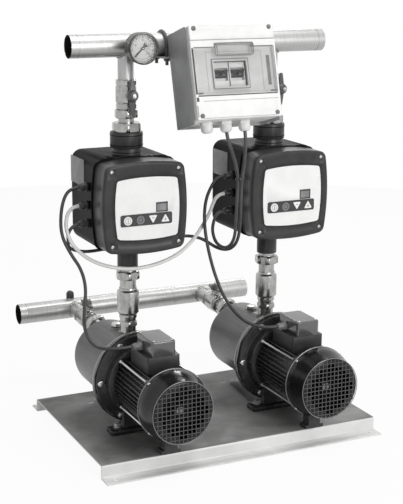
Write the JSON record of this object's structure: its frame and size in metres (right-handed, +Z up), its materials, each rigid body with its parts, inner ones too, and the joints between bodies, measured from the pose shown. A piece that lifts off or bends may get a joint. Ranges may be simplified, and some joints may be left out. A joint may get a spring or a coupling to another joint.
{
  "type": "booster pump set",
  "caption": "Booster pump set: horizontal motor pumps with inline speed controllers between suction and discharge manifolds, gauge and supply panel on a steel base plate.",
  "frame": {"origin": "centre of the base plate's hole pattern, on the floor", "axes": "+Z up; +X to the right along the manifolds, seen from the motors; +Y to the rear, towards the suction manifold"},
  "size_m": [0.6548, 0.6878, 0.8999],
  "materials": {
    "plate_steel": "satin sheet steel",
    "pipe_steel": "satin stainless pipe",
    "barrel_steel": "deep-drawn stainless, satin",
    "zinc_steel": "zinc plated",
    "nickel_brass": "nickel plated, satin",
    "black_cast": "semi-gloss black",
    "black_plastic": "fine texture black",
    "handle_grey": "dark grey coating",
    "rotor_steel": "ground",
    "winding": "varnished laminations",
    "inner_plastic": "moulded",
    "label_grey": "printed film",
    "key_white": "smooth",
    "key_dark": "smooth",
    "panel_grey": "light grey, fine texture",
    "bracket_grey": "painted sheet",
    "window_clear": "clear tinted",
    "gauge_case": "black",
    "gauge_dial": "white enamel",
    "needle_black": "black",
    "glass": "clear",
    "lead_black": "matt sheath",
    "lead_white": "matt sheath",
    "tie_black": "nylon",
    "breaker_grey": "moulded",
    "toggle_black": "moulded"
  },
  "bodies": {
    "frame": {"base_plate": "plate_steel", "foot_bolts": "zinc_steel", "discharge_manifold": "pipe_steel", "suction_manifold": "pipe_steel", "pipe_plugs": "zinc_steel", "gauge_case": "gauge_case", "gauge_dial": "gauge_dial", "gauge_glass": "glass", "panel_bracket": "bracket_grey", "pipe_clamps": "zinc_steel", "panel_box": "panel_grey", "panel_cover": "panel_grey", "breaker_bodies": "breaker_grey", "cable_glands": "black_plastic", "cover_screws": "black_plastic", "pump_barrels": "barrel_steel", "casing_rings": "zinc_steel", "motor_adapters": "black_cast", "motor_frames": "black_cast", "fan_covers": "black_plastic", "terminal_boxes": "black_plastic", "terminal_lids": "black_plastic", "motor_fasteners": "zinc_steel", "stators": "winding", "diffusers": "inner_plastic", "bearings_and_seals": "rotor_steel", "controller_bodies": "black_plastic", "controller_covers": "black_plastic", "controller_labels": "label_grey", "ball_valve_bodies": "nickel_brass", "check_valve_bodies": "nickel_brass", "pipe_unions": "nickel_brass", "left_motor_lead": "lead_black", "right_motor_lead": "lead_black", "left_supply_lead": "lead_black", "right_supply_lead": "lead_black", "signal_lead": "lead_white", "cable_tie": "tie_black"},
    "gauge_needle": {"gauge_needle": "needle_black"},
    "panel_window": {"panel_window": "window_clear"},
    "left_breaker_toggle": {"left_breaker_toggle": "toggle_black"},
    "right_breaker_toggle": {"right_breaker_toggle": "toggle_black"},
    "left_discharge_valve": {"left_discharge_valve_handle": "handle_grey"},
    "left_suction_valve": {"left_suction_valve_handle": "handle_grey"},
    "left_rotor": {"left_rotor": "rotor_steel", "left_cooling_fan": "inner_plastic"},
    "left_check_poppet": {"left_check_poppet": "rotor_steel"},
    "left_start_key": {"left_start_key": "key_white"},
    "left_stop_key": {"left_stop_key": "key_dark"},
    "left_down_key": {"left_down_key": "key_white"},
    "left_up_key": {"left_up_key": "key_white"},
    "right_discharge_valve": {"right_discharge_valve_handle": "handle_grey"},
    "right_suction_valve": {"right_suction_valve_handle": "handle_grey"},
    "right_rotor": {"right_rotor": "rotor_steel", "right_cooling_fan": "inner_plastic"},
    "right_check_poppet": {"right_check_poppet": "rotor_steel"},
    "right_start_key": {"right_start_key": "key_white"},
    "right_stop_key": {"right_stop_key": "key_dark"},
    "right_down_key": {"right_down_key": "key_white"},
    "right_up_key": {"right_up_key": "key_white"}
  },
  "joints": [
    {"name": "gauge_needle_turn", "type": "hinge", "parent": "frame", "child": "gauge_needle", "pos_m": [-0.162, -0.051, 0.852], "axis": [0, 1, 0], "range_deg": [0, 270]},
    {"name": "panel_window_hinge", "type": "hinge", "parent": "frame", "child": "panel_window", "pos_m": [0.009, -0.14444, 0.76606], "axis": [1, 0, 0], "range_deg": [0, 100]},
    {"name": "left_breaker_toggle_flip", "type": "hinge", "parent": "frame", "child": "left_breaker_toggle", "pos_m": [-0.01875, -0.11425, 0.79762], "axis": [1, 0, 0], "range_deg": [0, 70]},
    {"name": "right_breaker_toggle_flip", "type": "hinge", "parent": "frame", "child": "right_breaker_toggle", "pos_m": [0.01875, -0.11425, 0.79762], "axis": [1, 0, 0], "range_deg": [0, 70]},
    {"name": "left_discharge_valve_turn", "type": "hinge", "parent": "frame", "child": "left_discharge_valve", "pos_m": [-0.1715, 0.02, 0.752], "axis": [0, -1, 0], "range_deg": [-90, 0]},
    {"name": "left_suction_valve_turn", "type": "hinge", "parent": "frame", "child": "left_suction_valve", "pos_m": [-0.1715, 0.286, 0.1858], "axis": [0, 0, 1], "range_deg": [-90, 0]},
    {"name": "left_rotor_spin", "type": "hinge", "parent": "frame", "child": "left_rotor", "pos_m": [-0.1715, 0, 0.1408], "axis": [0, 1, 0], "continuous": true},
    {"name": "left_check_poppet_lift", "type": "slide", "parent": "frame", "child": "left_check_poppet", "axis": [0, 0, 1], "range_m": [0, 0.008], "stiffness_N_per_m": 60, "springref_m": -0.01},
    {"name": "left_start_key_press", "type": "slide", "parent": "frame", "child": "left_start_key", "axis": [0, 1, 0], "range_m": [0, 0.0015], "stiffness_N_per_m": 800, "springref_m": -0.0005},
    {"name": "left_stop_key_press", "type": "slide", "parent": "frame", "child": "left_stop_key", "axis": [0, 1, 0], "range_m": [0, 0.0015], "stiffness_N_per_m": 800, "springref_m": -0.0005},
    {"name": "left_down_key_press", "type": "slide", "parent": "frame", "child": "left_down_key", "axis": [0, 1, 0], "range_m": [0, 0.0015], "stiffness_N_per_m": 800, "springref_m": -0.0005},
    {"name": "left_up_key_press", "type": "slide", "parent": "frame", "child": "left_up_key", "axis": [0, 1, 0], "range_m": [0, 0.0015], "stiffness_N_per_m": 800, "springref_m": -0.0005},
    {"name": "right_discharge_valve_turn", "type": "hinge", "parent": "frame", "child": "right_discharge_valve", "pos_m": [0.1715, 0.02, 0.752], "axis": [0.2588, -0.9659, 0], "range_deg": [-90, 0]},
    {"name": "right_suction_valve_turn", "type": "hinge", "parent": "frame", "child": "right_suction_valve", "pos_m": [0.1715, 0.286, 0.1858], "axis": [0, 0, 1], "range_deg": [-90, 0]},
    {"name": "right_rotor_spin", "type": "hinge", "parent": "frame", "child": "right_rotor", "pos_m": [0.1715, 0, 0.1408], "axis": [0, 1, 0], "continuous": true},
    {"name": "right_check_poppet_lift", "type": "slide", "parent": "frame", "child": "right_check_poppet", "axis": [0, 0, 1], "range_m": [0, 0.008], "stiffness_N_per_m": 60, "springref_m": -0.01},
    {"name": "right_start_key_press", "type": "slide", "parent": "frame", "child": "right_start_key", "axis": [0, 1, 0], "range_m": [0, 0.0015], "stiffness_N_per_m": 800, "springref_m": -0.0005},
    {"name": "right_stop_key_press", "type": "slide", "parent": "frame", "child": "right_stop_key", "axis": [0, 1, 0], "range_m": [0, 0.0015], "stiffness_N_per_m": 800, "springref_m": -0.0005},
    {"name": "right_down_key_press", "type": "slide", "parent": "frame", "child": "right_down_key", "axis": [0, 1, 0], "range_m": [0, 0.0015], "stiffness_N_per_m": 800, "springref_m": -0.0005},
    {"name": "right_up_key_press", "type": "slide", "parent": "frame", "child": "right_up_key", "axis": [0, 1, 0], "range_m": [0, 0.0015], "stiffness_N_per_m": 800, "springref_m": -0.0005}
  ]
}
